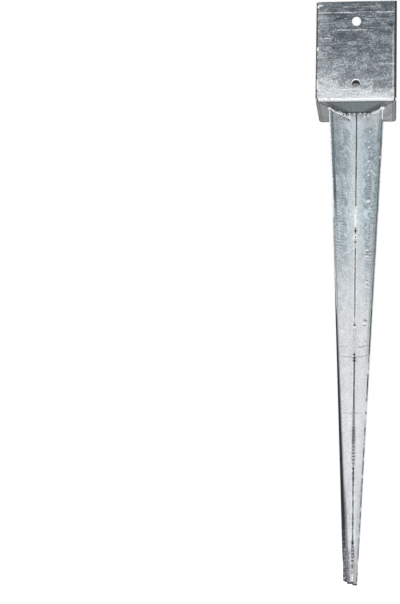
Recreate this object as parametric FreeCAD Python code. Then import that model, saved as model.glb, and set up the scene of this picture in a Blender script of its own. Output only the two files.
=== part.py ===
import FreeCAD, Part
import math
import os

# A post spike of galvanised sheet steel: a square socket for a timber post, folded from one
# sheet, on a cross-shaped ground spike made of two tapered angles welded back to back.
# +Z is up, the front face looks along -Y, and the origin is on the axis at the ground line,
# where the planes of the walls meet the planes of the floor flaps.

# Driving dimensions, in millimetres and degrees
post_size = 120.0
post_clearance = 1.0
socket_height = 160.0
socket_sheet = 2.0
corner_radius = 4.0
corner_seam_gap = 0.6
rim_corner_radius = 4.0

floor_bend_radius = 5.0
floor_slope = 12.0
floor_opening = 43.0
corner_relief = 4.0

hole_diameter = 13.0
hole_from_rim = 33.0
hole_spacing = 100.0

spike_length = 740.0
spike_sheet = 2.0
spike_fold_radius = 3.4
spike_seam_gap = 0.4
spike_top_rise = 0.0
flange_reach_top = 59.0
flange_reach_tip = 9.5
left_rear_reach_top = 61.0
left_rear_reach_tip = 19.0
left_angle_short = 2.0
left_rear_tip_rise = 4.0
slot_clearance = 0.3

seam_bead_radius = 2.0
floor_fillet_leg = 4.0
floor_fillet_crown = 0.58
floor_fillet_margin = 1.5
corner_tack_radius = 2.2
corner_tack_depth = 0.8

upper_seam_weld = 36.0
second_seam_weld = 38.0
third_seam_weld = 63.0
tip_seam_weld = 26.0
low_corner_tack = 18.0
middle_corner_tack = 8.0
rim_corner_tack = 7.0

# Where each bead's middle is: a share of the spike's length, or of the socket's height
seam_welds = (
    (0.231, upper_seam_weld),
    (0.495, second_seam_weld),
    (0.715, third_seam_weld),
    (0.936, tip_seam_weld),
)
corner_tacks = ((0.17, low_corner_tack), (0.51, middle_corner_tack), (0.955, rim_corner_tack))

# Sizes that follow from them
socket_inside = post_size + post_clearance
half = socket_inside / 2 + socket_sheet
inner_half = socket_inside / 2
slope = math.radians(floor_slope)
bend_turn = math.pi / 2 - slope
bend_setback = floor_bend_radius * math.tan(bend_turn / 2)
wall_height = socket_height - bend_setback
flap_edge = floor_opening / 2
fold_centre = spike_seam_gap / 2 + spike_fold_radius
flange_start = fold_centre / math.sqrt(2)
outer_face_offset = spike_fold_radius - flange_start
inner_face_offset = spike_sheet - outer_face_offset

vector = FreeCAD.Vector
up = vector(0, 0, 1)
origin = vector(0, 0, 0)
quarter_turn = 90


def polygon_face(points):
    """A flat face from its corners."""
    return Part.Face(Part.makePolygon(list(points) + [points[0]]))


def turned(shape, degrees):
    """A copy of the shape, turned about the part's axis."""
    copy = shape.copy()
    copy.rotate(origin, up, degrees)
    return copy


def folded_corner(x_sign, y_sign):
    """One rounded vertical fold: a quarter ring between two walls."""
    centre = vector(x_sign, y_sign, 0) * (half - corner_radius) + up * bend_setback
    outer = Part.makeCylinder(corner_radius, wall_height, centre)
    inner = Part.makeCylinder(corner_radius - socket_sheet, wall_height, centre)
    low_corner = centre + vector(min(x_sign, 0), min(y_sign, 0), 0) * corner_radius
    quadrant = Part.makeBox(corner_radius, corner_radius, wall_height, low_corner)
    return outer.cut(inner).common(quadrant)


def wall(x_low, x_high, y_low, y_high):
    """A flat wall of the socket, from the floor bend up to the rim."""
    low_corner = vector(x_low, y_low, bend_setback)
    return Part.makeBox(x_high - x_low, y_high - y_low, wall_height, low_corner)


def floor_flap(face_offset):
    """The front flap with its bend: a sloping trapezoid that stops short of the spike's flanges."""
    bend_middle = vector(0, -(half - floor_bend_radius), bend_setback)
    inner_radius = floor_bend_radius - socket_sheet
    end_normal = vector(0, -math.sin(slope), -math.cos(slope))
    half_normal = vector(0, -math.cos(bend_turn / 2), -math.sin(bend_turn / 2))
    run_out = (half - flap_edge) / math.cos(slope) - bend_setback
    flap_run = vector(0, math.cos(slope), -math.sin(slope)) * run_out
    outer_start = bend_middle + vector(0, -floor_bend_radius, 0)
    outer_end = bend_middle + end_normal * floor_bend_radius
    inner_start = bend_middle + vector(0, -inner_radius, 0)
    inner_end = bend_middle + end_normal * inner_radius
    section = Part.Wire([
        Part.Arc(outer_start, bend_middle + half_normal * floor_bend_radius, outer_end).toShape(),
        Part.makeLine(outer_end, outer_end + flap_run),
        Part.makeLine(outer_end + flap_run, inner_end + flap_run),
        Part.makeLine(inner_end + flap_run, inner_end),
        Part.Arc(inner_end, bend_middle + half_normal * inner_radius, inner_start).toShape(),
        Part.makeLine(inner_start, outer_start),
    ])
    sheet_strip = Part.Face(section).extrude(vector(2 * half, 0, 0))
    sheet_strip.translate(vector(-half, 0, 0))

    bend_half_width = half - corner_relief
    mitre_shift = math.sqrt(2) * (face_offset + slot_clearance)
    mitre_outer = bend_half_width + mitre_shift
    inner_edge = flap_edge - socket_sheet
    plan = polygon_face([
        vector(-bend_half_width, -half, -half),
        vector(bend_half_width, -half, -half),
        vector(bend_half_width, -mitre_outer, -half),
        vector(inner_edge - mitre_shift, -inner_edge, -half),
        vector(mitre_shift - inner_edge, -inner_edge, -half),
        vector(-bend_half_width, -mitre_outer, -half),
    ])
    return sheet_strip.common(plan.extrude(up * 2 * half))


def bolt_holes():
    """Cutters for the bolt holes, through the front and rear walls on the centre line."""
    through = 2 * half
    heights = (socket_height - hole_from_rim, socket_height - hole_from_rim - hole_spacing)
    return [
        Part.makeCylinder(hole_diameter / 2, through, vector(0, -half, height), vector(0, 1, 0))
        for height in heights
    ]


def rim_corner():
    """Cutter that rounds the blank's corner where the left wall's cut edge meets the rim."""
    radius = rim_corner_radius
    middle = vector(-half, radius - half, socket_height - radius)
    block = Part.makeBox(socket_sheet, radius, radius, vector(-half, -half, socket_height - radius))
    return block.cut(Part.makeCylinder(radius, socket_sheet, middle, vector(1, 0, 0)))


def make_socket():
    """The folded socket: three folds, a butt seam at the front left corner, four floor flaps."""
    flat = half - corner_radius
    seam_edge = corner_seam_gap - inner_half
    walls = [
        wall(seam_edge, flat, -half, -inner_half),
        wall(inner_half, half, -flat, flat),
        wall(-flat, flat, inner_half, half),
        wall(-half, -inner_half, -half, flat),
    ]
    folds = [folded_corner(1, -1), folded_corner(1, 1), folded_corner(-1, 1)]
    face_offsets = (outer_face_offset, inner_face_offset, outer_face_offset, inner_face_offset)
    flaps = [
        turned(floor_flap(offset), quarter_turn * side)
        for side, offset in enumerate(face_offsets)
    ]
    body = walls[0].multiFuse(walls[1:] + folds + flaps)
    for cutter in bolt_holes() + [rim_corner()]:
        body = body.cut(cutter)
    return body.removeSplitter()


def flange(direction, face_normal, reach_top, reach_tip, tip_rise, tip):
    """A tapered flange: its outer face is face_normal's side, its free edge the taper."""
    start = face_normal * outer_face_offset
    outline = polygon_face([
        start + direction * flange_start + up * spike_top_rise,
        start + direction * reach_top + up * spike_top_rise,
        start + direction * reach_tip + up * (tip + tip_rise),
        start + direction * flange_start + up * tip,
    ])
    return outline.extrude(face_normal * -spike_sheet)


def spike_angle(side, front_reach, rear_reach, tip):
    """One folded angle of the spike, opening to the side (+1 right, -1 left)."""
    diagonal = 1 / math.sqrt(2)
    front = flange(
        vector(side * diagonal, -diagonal, 0), vector(-side * diagonal, -diagonal, 0), *front_reach, tip
    )
    rear = flange(
        vector(side * diagonal, diagonal, 0), vector(-side * diagonal, diagonal, 0), *rear_reach, tip
    )
    centre = vector(side * fold_centre, 0, 0)
    arc_start = vector(-side, -1, 0) * diagonal
    arc_middle = vector(-side, 0, 0)
    arc_end = vector(-side, 1, 0) * diagonal
    inside = spike_fold_radius - spike_sheet
    outside = spike_fold_radius
    ring = Part.Wire([
        Part.Arc(
            centre + arc_start * outside, centre + arc_middle * outside, centre + arc_end * outside
        ).toShape(),
        Part.makeLine(centre + arc_end * outside, centre + arc_end * inside),
        Part.Arc(
            centre + arc_end * inside, centre + arc_middle * inside, centre + arc_start * inside
        ).toShape(),
        Part.makeLine(centre + arc_start * inside, centre + arc_start * outside),
    ])
    fold = Part.Face(ring).extrude(up * (spike_top_rise - tip))
    fold.translate(up * tip)
    return front.multiFuse([rear, fold]).removeSplitter()


def round_ended_bead(radius, middle, length):
    """A weld bead before it is set into its seam: an upright bar with round ends."""
    straight = length - 2 * radius
    low = middle - up * (straight / 2)
    bar = Part.makeCylinder(radius, straight, low)
    ends = [Part.makeSphere(radius, low), Part.makeSphere(radius, low + up * straight)]
    return bar.multiFuse(ends).removeSplitter()


def seam_beads(y_sign, angles):
    """The stitch welds in the groove between the two folds, front (-1) or rear (+1)."""
    groove = y_sign * spike_fold_radius / math.sqrt(2)
    beads = []
    for place, length in seam_welds:
        bead = round_ended_bead(seam_bead_radius, vector(0, groove, -place * spike_length), length)
        for angle in angles:
            bead = bead.cut(angle)
        beads.append(bead)
    return beads


def floor_fillet(toward, across, face_offset):
    """A fillet weld under a flap, along the flange face that its slanted edge meets.

    toward is the way from the axis to the flap's wall, across is the side of the flap.
    """
    along = (toward + across).normalize()
    face_normal = (toward - across).normalize()
    fall = math.tan(slope)

    def corner(reach):
        place = along * reach + face_normal * face_offset
        return place - up * (half - place.dot(toward)) * fall

    first = corner(math.sqrt(2) * flap_edge - face_offset)
    last = corner(flange_reach_top - floor_fillet_margin)
    run = last - first
    under_flap = (toward * fall - up).cross(run).normalize()
    down_flange = face_normal.cross(run).normalize()
    if under_flap.dot(face_normal) < 0:
        under_flap = under_flap * -1
    if down_flange.z > 0:
        down_flange = down_flange * -1
    flap_toe = first + under_flap * floor_fillet_leg
    flange_toe = first + down_flange * floor_fillet_leg
    crown = first + (under_flap + down_flange) * floor_fillet_leg * floor_fillet_crown
    section = Part.Wire([
        Part.makeLine(first, flap_toe),
        Part.Arc(flap_toe, crown, flange_toe).toShape(),
        Part.makeLine(flange_toe, first),
    ])
    return Part.Face(section).extrude(run)


def floor_fillets():
    """Both slanted edges of all four flaps are welded to the flanges beside them."""
    sides = (
        (vector(0, -1, 0), outer_face_offset),
        (vector(1, 0, 0), inner_face_offset),
        (vector(0, 1, 0), outer_face_offset),
        (vector(-1, 0, 0), inner_face_offset),
    )
    welds = []
    for toward, face_offset in sides:
        across = up.cross(toward)
        welds.append(floor_fillet(toward, across, face_offset))
        welds.append(floor_fillet(toward, across * -1, face_offset))
    return welds


def corner_seam_tacks(socket):
    """Short welds that close the butt seam at the front left corner."""
    seam_x = corner_seam_gap / 2 - inner_half
    post_room = Part.makeBox(
        socket_inside, socket_inside, socket_height, vector(-inner_half, -inner_half, 0)
    )
    tacks = []
    for place, length in corner_tacks:
        middle = vector(seam_x, corner_tack_depth - half, place * socket_height)
        bead = round_ended_bead(corner_tack_radius, middle, length)
        tacks.append(bead.cut(socket).cut(post_room))
    return tacks


socket = make_socket()
left_angle = spike_angle(
    -1,
    (flange_reach_top, flange_reach_tip, 0),
    (left_rear_reach_top, left_rear_reach_tip, left_rear_tip_rise),
    left_angle_short - spike_length,
)
right_angle = spike_angle(
    1,
    (flange_reach_top, flange_reach_tip, 0),
    (flange_reach_top, flange_reach_tip, 0),
    -spike_length,
)
spike_angles = (left_angle, right_angle)

nodes = {
    "socket": socket,
    "left_spike_angle": left_angle,
    "right_spike_angle": right_angle,
    "front_seam_welds": Part.makeCompound(seam_beads(-1, spike_angles)),
    "rear_seam_welds": Part.makeCompound(seam_beads(1, spike_angles)),
    "floor_fillet_welds": Part.makeCompound(floor_fillets()),
    "corner_seam_welds": Part.makeCompound(corner_seam_tacks(socket)),
}

os.makedirs("parts", exist_ok=True)
for name, shape in nodes.items():
    shape.exportStep("parts/" + name + ".step")
    print(name, len(shape.Solids), "solids", round(shape.Volume), "mm3", shape.isValid())
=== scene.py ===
import bmesh
import bpy
import math
import random
from mathutils import Euler, Matrix, Vector, noise


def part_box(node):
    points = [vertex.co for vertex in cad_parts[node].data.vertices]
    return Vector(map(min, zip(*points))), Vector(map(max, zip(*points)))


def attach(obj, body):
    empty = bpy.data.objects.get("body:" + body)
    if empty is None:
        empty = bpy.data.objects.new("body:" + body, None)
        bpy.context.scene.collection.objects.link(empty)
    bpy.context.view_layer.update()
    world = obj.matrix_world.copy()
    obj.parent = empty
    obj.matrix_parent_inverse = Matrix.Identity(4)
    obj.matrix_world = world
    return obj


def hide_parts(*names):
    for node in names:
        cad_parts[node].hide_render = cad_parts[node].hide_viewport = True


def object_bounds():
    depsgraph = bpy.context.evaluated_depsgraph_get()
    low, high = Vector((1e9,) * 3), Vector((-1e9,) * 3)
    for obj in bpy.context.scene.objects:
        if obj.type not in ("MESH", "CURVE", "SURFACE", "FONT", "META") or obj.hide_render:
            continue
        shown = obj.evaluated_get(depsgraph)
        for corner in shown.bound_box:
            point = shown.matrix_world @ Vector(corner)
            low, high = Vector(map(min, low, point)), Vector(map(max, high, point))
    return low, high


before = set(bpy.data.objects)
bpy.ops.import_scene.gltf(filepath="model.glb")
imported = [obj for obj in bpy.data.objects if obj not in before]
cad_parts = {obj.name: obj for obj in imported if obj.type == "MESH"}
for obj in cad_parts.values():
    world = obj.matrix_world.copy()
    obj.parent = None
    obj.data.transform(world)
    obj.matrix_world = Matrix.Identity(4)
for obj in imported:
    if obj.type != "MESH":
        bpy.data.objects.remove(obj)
cad_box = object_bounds()

# The socket: a square tube folded from one sheet of 2 mm steel, with four floor flaps.
# It was dipped in molten zinc after welding, which froze in cloudy blue-grey crystals,
# nearly white low down, where the zinc ran and gathered and a reflection of the floor is painted in.
# Shade is painted along the tight folds.
socket_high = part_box("socket")[1]
socket_half = socket_high.x
rim_height = socket_high.z
fold_radius = 0.004
fold_start = socket_half - fold_radius
flap_edge = 0.0215
grain_scale = 420
streak_stretch = (0.08, 0.08, 1.0)
scratch_half = 0.0003
socket_tones = ((0.047, 0.058, 0.073), (0.139, 0.163, 0.187), (0.44, 0.484, 0.518))
foot_grey_and_reflection = (0.50, 0.54, 0.57)
foot_white_and_reflection = (0.71, 0.73, 0.76)
inner_grey = (0.78, 0.80, 0.82)
flap_grey = (0.32, 0.36, 0.35)
flap_blotch = (0.12, 0.13, 0.13)
flap_end_grey = (0.60, 0.63, 0.63)
side_flap_painted_light = (0.66, 0.66, 0.665)
side_flap_blotch = (0.13, 0.13, 0.14)
left_flap_painted_shade = (0.28, 0.28, 0.29)
flap_darkening = (0.10, 0.11, 0.11)
dark_joint_and_shade_grey = (0.04, 0.042, 0.045)
bend_highlight_white = (0.95, 0.95, 0.96)
seam_side_grey = (0.52, 0.55, 0.57)
pale_streak = (0.30, 0.34, 0.37)
dark_streak = (0.055, 0.065, 0.080)
scratch_white = (0.80, 0.81, 0.83)
stain_grey = (0.10, 0.10, 0.10)
patch_grey = (0.42, 0.46, 0.49)
edge_dark = (0.05, 0.055, 0.065)
fold_shade = (0.045, 0.05, 0.06)
fold_highlight_grey = (0.62, 0.65, 0.67)
# Each scratch has a height, two ends and a strength.
scratches = (
    (0.1420, -0.058, -0.004, 0.85),
    (0.1425, 0.003, 0.022, 0.45),
    (0.1420, 0.032, 0.060, 0.85),
    (0.1135, -0.026, 0.014, 0.70),
    (0.1310, 0.014, 0.046, 0.30),
    (0.1000, -0.056, -0.040, 0.45),
    (0.0630, -0.044, -0.032, 0.25),
    (0.0585, 0.040, 0.057, 0.40),
    (0.1510, -0.020, 0.034, 0.30),
)
# Each stain or patch has a middle, a height, how wide and tall it is, and a strength.
stains = (
    (-0.0235, 0.1045, 0.0060, 0.0065, 0.55),
    (0.0005, 0.1045, 0.0080, 0.0075, 0.60),
    (0.0510, 0.1130, 0.0020, 0.0020, 0.60),
    (0.0175, 0.1540, 0.0200, 0.0008, 0.60),
    (0.0230, 0.1455, 0.0170, 0.0020, 0.45),
    (-0.0370, 0.1480, 0.0160, 0.0040, 0.35),
    (0.0230, 0.0480, 0.0090, 0.0060, 0.36),
    (0.0430, 0.0260, 0.0280, 0.0120, 0.40),
    (-0.0340, 0.0720, 0.0200, 0.0070, 0.45),
    (-0.0085, 0.0450, 0.0120, 0.0160, 0.24),
    (0.0250, 0.0780, 0.0120, 0.0100, 0.22),
)
bright_patches = (
    (0.0465, 0.0975, 0.0120, 0.0100, 0.42),
    (0.0150, 0.0690, 0.0050, 0.0080, 0.45),
    (-0.0500, 0.1270, 0.0060, 0.0100, 0.35),
)


def add_node(owner, kind, inputs, **settings):
    """Add a shader node, each input set to a value or joined to another node's socket."""
    tree = owner.node_tree
    node = tree.nodes.new("ShaderNode" + kind)
    for setting, value in settings.items():
        setattr(node, setting, value)
    for name, value in inputs.items():
        if isinstance(value, bpy.types.NodeSocket):
            tree.links.new(value, node.inputs[name])
        else:
            node.inputs[name].default_value = value
    return node


class ZincFinish:
    """Frozen zinc: clouds, spangle and grain by their shares, with colours painted over by masks."""

    def __init__(self, name, tones, shares, patch, metallic, roughness, relief, stretch=(1, 1, 1)):
        self.material = bpy.data.materials.new(name)
        self.material.use_nodes = True
        self.shader = self.material.node_tree.nodes["Principled BSDF"]
        self.shader.inputs["Metallic"].default_value = metallic
        self.place = self.outcome("TexCoord", "Object", {})
        self.axes = add_node(self.material, "SeparateXYZ", {"Vector": self.place}).outputs

        flow = self.outcome("Mapping", "Vector", {"Vector": self.place, "Scale": stretch})
        cloud_inputs = {"Vector": flow, "Scale": 1 / patch, "Detail": 4, "Roughness": 0.65, "Distortion": 1.2}
        self.clouds = self.outcome("TexNoise", "Fac", cloud_inputs)
        grain_inputs = {"Vector": self.place, "Scale": grain_scale, "Detail": 3, "Roughness": 0.7}
        self.grain = self.outcome("TexNoise", "Fac", grain_inputs)
        self.speckles = self.fade(self.grain, 0.30, 0.70)
        warp = self.outcome("TexNoise", "Color", {"Vector": flow, "Scale": 2.2 / patch, "Detail": 2})
        warped = self.outcome("MixRGB", "Color", {"Fac": 0.006, "Color1": flow, "Color2": warp})
        crystals = self.outcome("TexVoronoi", "Color", {"Vector": warped, "Scale": 2.6 / patch})
        spangle = self.outcome("SeparateXYZ", "X", {"Vector": crystals})

        cloud_share, spangle_share, grain_share = shares
        tone = self.product(self.fade(self.clouds, 0.28, 0.72), cloud_share)
        tone = self.add_share(tone, spangle, spangle_share)
        tone = self.add_share(tone, self.speckles, grain_share)
        dark, middle, light = tones
        ramp = add_node(self.material, "ValToRGB", {"Fac": tone})
        stops = ramp.color_ramp.elements
        stops[0].position = 0.12
        stops[0].color = (*dark, 1)
        stops[1].position = 0.88
        stops[1].color = (*light, 1)
        stops.new(0.50).color = (*middle, 1)
        self.join("Base Color", ramp.outputs["Color"])
        gloss_inputs = {"Value": spangle, "To Min": roughness - 0.07, "To Max": roughness + 0.09}
        self.join("Roughness", self.outcome("MapRange", "Result", gloss_inputs))
        bump_inputs = {"Height": tone, "Strength": 1.0, "Distance": relief}
        self.join("Normal", self.outcome("Bump", "Normal", bump_inputs))

    def outcome(self, kind, output, inputs, **settings):
        """Add a node to the finish and give one of its outputs."""
        return add_node(self.material, kind, inputs, **settings).outputs[output]

    def join(self, input_name, outcome):
        """Give the shader an outcome for one of its inputs."""
        self.material.node_tree.links.new(outcome, self.shader.inputs[input_name])

    def sum_of(self, operation, *values):
        """The outcome of one sum on values or sockets."""
        return self.outcome("Math", "Value", dict(enumerate(values)), operation=operation)

    def add_share(self, base, value, share):
        """The base with a share of the value added to it."""
        return self.sum_of("MULTIPLY_ADD", value, share, base)

    def product(self, *values):
        """All the values or sockets multiplied together."""
        outcome = values[0]
        for value in values[1:]:
            outcome = self.sum_of("MULTIPLY", outcome, value)
        return outcome

    def fade(self, value, start, end):
        """A smooth rise from 0 to 1 as the value goes from start to end."""
        inputs = {"Value": value, "From Min": start, "From Max": end}
        return self.outcome("MapRange", "Result", inputs, interpolation_type="SMOOTHSTEP")

    def band(self, value, low, high, soft):
        """1 between low and high, fading to 0 over the soft width outside them."""
        return self.product(self.fade(value, low - soft, low), self.fade(value, high + soft, high))

    def paint(self, colour, *masks, strength=1.0, speckle=0.25):
        """Lay a colour, speckled by the grain, over the finish where all the masks are 1."""
        darker = [(1 - speckle) * part for part in colour]
        lighter = [min(1, (1 + speckle) * part) for part in colour]
        shades = {"Fac": self.speckles, "Color1": (*darker, 1), "Color2": (*lighter, 1)}
        speckled = self.outcome("MixRGB", "Color", shades)
        under = self.shader.inputs["Base Color"].links[0].from_socket
        layers = {"Fac": self.product(*masks, strength), "Color1": under, "Color2": speckled}
        self.join("Base Color", self.outcome("MixRGB", "Color", layers))


socket_zinc = ZincFinish(
    "socket_zinc", socket_tones, shares=(0.46, 0.16, 0.40), patch=0.015, stretch=(0.5, 0.5, 1.1),
    metallic=0.6, roughness=0.44, relief=0.0005,
)
x, y, z = socket_zinc.axes
across = socket_zinc.sum_of("ABSOLUTE", x)
along = socket_zinc.sum_of("ABSOLUTE", y)
outermost = socket_zinc.sum_of("MAXIMUM", across, along)
innermost = socket_zinc.sum_of("MINIMUM", across, along)
mitre = socket_zinc.sum_of("SUBTRACT", across, along)
on_walls = socket_zinc.fade(outermost, socket_half - 0.0022, socket_half - 0.0012)
on_front = socket_zinc.fade(y, 0.003 - socket_half, 0.001 - socket_half)
within_walls = socket_zinc.fade(outermost, socket_half - 0.0014, socket_half - 0.0022)
above_bend = socket_zinc.fade(z, 0.0, 0.006)
below_bend = socket_zinc.fade(z, 0.0010, -0.0015)
on_floor = socket_zinc.product(within_walls, below_bend)

# The foot of the walls is paler, with a ragged upper edge that dips to the right: zinc gathered there, and a
# reflection of the bright floor is painted in with it.
ragged = socket_zinc.add_share(z, socket_zinc.clouds, -0.06)
ragged = socket_zinc.add_share(ragged, socket_zinc.grain, -0.03)
ragged = socket_zinc.add_share(ragged, x, 0.20)
paler_below = socket_zinc.fade(ragged, 0.065, -0.025)
socket_zinc.paint(foot_grey_and_reflection, paler_below, on_walls, strength=0.45, speckle=0.5)
gathered_and_reflection = socket_zinc.fade(ragged, -0.008, -0.034)
socket_zinc.paint(foot_white_and_reflection, gathered_and_reflection, on_walls, strength=0.82, speckle=0.15)

# The rear wall is pale inside. The flaps are dull, with dark mitres, darker by the welds at their ends, and
# have painted light and shade, with painted shadow along their free edges.
rear_inside = socket_zinc.fade(y, 0.045, 0.055)
socket_zinc.paint(inner_grey, within_walls, above_bend, rear_inside, strength=0.85)
socket_zinc.paint(flap_grey, on_floor, strength=0.70)
toward_side = socket_zinc.fade(mitre, -0.0004, 0.0004)
# Painted light: the side flaps are lighter than the front and rear flaps.
socket_zinc.paint(side_flap_painted_light, on_floor, toward_side, strength=0.55)
blotched = socket_zinc.fade(socket_zinc.clouds, 0.42, 0.58)
socket_zinc.paint(flap_blotch, on_floor, blotched, strength=0.30)
mitre_line = socket_zinc.band(mitre, -0.0012, 0.0012, 0.0008)
socket_zinc.paint(dark_joint_and_shade_grey, on_floor, mitre_line, strength=0.9)
# Painted shade in the mitres, widening toward the rear.
open_mitre = socket_zinc.band(mitre, -0.0030, 0.0030, 0.0010)
toward_rear = socket_zinc.fade(y, 0.010, 0.020)
socket_zinc.paint(dark_joint_and_shade_grey, on_floor, open_mitre, toward_rear, strength=0.8)
# Painted shade along the foot of the side bends.
side_bend = socket_zinc.fade(across, socket_half - 0.0032, socket_half - 0.0018)
bend_height = socket_zinc.fade(z, 0.0060, 0.0030)
clear_of_front = socket_zinc.fade(y, 0.004 - socket_half, 0.010 - socket_half)
socket_zinc.paint(dark_joint_and_shade_grey, side_bend, bend_height, clear_of_front, strength=0.95)
# The flaps are darker by the welds at their ends.
darker_by_welds = socket_zinc.band(mitre, -0.012, -0.001, 0.008)
darker_grain = socket_zinc.fade(socket_zinc.grain, 0.32, 0.56)
near_weld = socket_zinc.fade(across, 0.052, 0.044)
socket_zinc.paint(flap_darkening, on_floor, darker_by_welds, darker_grain, near_weld, strength=0.75)
flap_end = socket_zinc.fade(across, 0.040, 0.050)
beside_mitre = socket_zinc.fade(mitre, -0.001, -0.003)
socket_zinc.paint(flap_end_grey, on_floor, flap_end, beside_mitre, strength=0.45)
# Painted shade: the left flaps are darker.
left_flap = socket_zinc.fade(x, -0.02, -0.04)
socket_zinc.paint(left_flap_painted_shade, on_floor, left_flap, toward_side, strength=0.65)
socket_zinc.paint(side_flap_blotch, on_floor, blotched, toward_side, strength=0.20)
# Painted shade in a line under the bends.
under_bend = socket_zinc.band(outermost, socket_half - 0.0062, socket_half - 0.0024, 0.0012)
socket_zinc.paint(flap_darkening, below_bend, under_bend, strength=0.55)
# Painted shade across the rear flap by its bend.
rear_line = socket_zinc.fade(y, socket_half - 0.0080, socket_half - 0.0040)
socket_zinc.paint(dark_joint_and_shade_grey, on_floor, rear_line, strength=0.6)
# Painted shadow along the flaps' free edges.
flap_edge_shadow = socket_zinc.band(outermost, flap_edge, flap_edge + 0.0046, 0.0006)
socket_zinc.paint(dark_joint_and_shade_grey, below_bend, flap_edge_shadow, strength=0.9)
# A painted highlight along the front bend.
bend_highlight_line = socket_zinc.fade(z, 0.0030, 0.0010)
bend_front = socket_zinc.fade(y, 0.0034 - socket_half, 0.0024 - socket_half)
socket_zinc.paint(bend_highlight_white, bend_highlight_line, bend_front, strength=0.9, speckle=0.08)

# Streaks run across the upper walls. The front also has scratches, stains and bright patches.
beside_seam = socket_zinc.fade(x, -0.036, -0.056)
socket_zinc.paint(seam_side_grey, on_front, beside_seam, strength=0.30, speckle=0.4)
drawn_place = socket_zinc.outcome("Mapping", "Vector", {"Vector": socket_zinc.place, "Scale": streak_stretch})
drawn = socket_zinc.outcome("TexNoise", "Fac", {"Vector": drawn_place, "Scale": grain_scale, "Detail": 2})
upper_wall = socket_zinc.product(socket_zinc.fade(z, 0.050, 0.090), on_walls)
socket_zinc.paint(pale_streak, upper_wall, socket_zinc.fade(drawn, 0.55, 0.66), strength=0.45)
socket_zinc.paint(dark_streak, upper_wall, socket_zinc.fade(drawn, 0.45, 0.34), strength=0.50)
worn = socket_zinc.fade(socket_zinc.grain, 0.28, 0.50)
for height, left, right, strength in scratches:
    line = socket_zinc.band(z, height - scratch_half, height + scratch_half, 0.0008)
    stretch = socket_zinc.band(x, left, right, 0.006)
    socket_zinc.paint(scratch_white, on_front, line, stretch, worn, strength=strength)


def front_marks(marks, colour, soft_width, soft_height, speckle):
    """Paint soft-edged marks on the socket's front wall."""
    for middle, height, wide, tall, strength in marks:
        within_width = socket_zinc.band(x, middle - wide / 2, middle + wide / 2, soft_width)
        within_height = socket_zinc.band(z, height - tall / 2, height + tall / 2, soft_height)
        socket_zinc.paint(colour, on_front, within_width, within_height, strength=strength, speckle=speckle)


front_marks(stains, stain_grey, soft_width=0.003, soft_height=0.002, speckle=0.25)
front_marks(bright_patches, patch_grey, soft_width=0.006, soft_height=0.005, speckle=0.5)

# The cut edge at the seam is dark. Shade is painted along the three folds, with a painted highlight in a line
# by the front one.
cut_edge = socket_zinc.fade(x, 0.0030 - socket_half, 0.0022 - socket_half)
socket_zinc.paint(edge_dark, on_front, cut_edge, strength=0.75)
on_fold = socket_zinc.fade(innermost, fold_start - 0.0002, fold_start + 0.0010)
corner_sum = socket_zinc.sum_of("ADD", x, y)
folded_corner = socket_zinc.fade(corner_sum, -1.6 * socket_half, -socket_half)
socket_zinc.paint(fold_shade, on_fold, above_bend, folded_corner, strength=0.92)
fold_highlight_band = socket_zinc.band(x, fold_start - 0.0022, fold_start - 0.0008, 0.0010)
below_rim = socket_zinc.fade(z, 0.130, 0.100)
socket_zinc.paint(fold_highlight_grey, on_front, fold_highlight_band, below_rim, strength=0.55)


def dress(node_name, finish):
    """Give a sheet its finish in place of its plain material."""
    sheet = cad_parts[node_name]
    sheet.data.materials.clear()
    sheet.data.materials.append(finish.material)


dress("socket", socket_zinc)

# The lips round the bolt holes: the punch left a burr, and the zinc hung on it
# in a thin raised ring, heavier along the upper half.
hole_radius = 0.0065
hole_heights = (rim_height - 0.033, rim_height - 0.133)
lip_thickness = 0.0003
lip_sink = 0.0001
lip_swell = 2.6
# Bright zinc for the lips, beads, lumps, edges and spatter: near white, with the highlights they catch
# painted into its colour.
bright_and_highlight_tones = ((0.74, 0.76, 0.78), (0.90, 0.91, 0.92), (0.98, 0.98, 0.99))
bright_zinc_and_highlight = ZincFinish(
    "bright_zinc_and_highlight", bright_and_highlight_tones, shares=(0.4, 0.1, 0.5), patch=0.004,
    metallic=0.3, roughness=0.36, relief=0.0003,
)


def new_piece(name, shape, finish):
    """Make the finished mesh an object that rides with the part."""
    bmesh.ops.recalc_face_normals(shape, faces=shape.faces)
    for face in shape.faces:
        face.smooth = True
    mesh = bpy.data.meshes.new(name)
    shape.to_mesh(mesh)
    shape.free()
    mesh.materials.append(finish.material)
    piece = bpy.data.objects.new(name, mesh)
    bpy.context.scene.collection.objects.link(piece)
    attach(piece, "root")
    return piece


def raised_ring(shape, centre, radius, thickness, upper_swell):
    """A ring of zinc on an upright face, its axis along Y, thicker at the top by upper_swell."""
    unevenness = 0.25
    lump_scale = 420
    centre_scale = 90
    others = set(shape.verts)
    section = bmesh.ops.create_circle(shape, segments=8, radius=thickness)["verts"]
    bmesh.ops.translate(shape, verts=section, vec=(radius, 0, 0))
    loop = section + list({edge for vert in section for edge in vert.link_edges})
    bmesh.ops.spin(
        shape, geom=loop, cent=(0, 0, 0), axis=(0, 1, 0), dvec=(0, 0, 0),
        angle=2 * math.pi, steps=40, use_merge=True,
    )
    for vert in shape.verts:
        if vert in others:
            continue
        core = Vector((vert.co.x, 0, vert.co.z)).normalized() * radius
        lumps = unevenness * noise.noise(vert.co * lump_scale + centre * centre_scale)
        swell = 1 + upper_swell * max(0, core.z / radius) + lumps
        vert.co = core + (vert.co - core) * swell + centre


lips = bmesh.new()
for side in (-1, 1):
    for height in hole_heights:
        seat = Vector((0, side * (socket_half - lip_sink), height))
        raised_ring(lips, seat, hole_radius + lip_thickness, lip_thickness, lip_swell)
new_piece("hole_lips", lips, bright_zinc_and_highlight)

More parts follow.
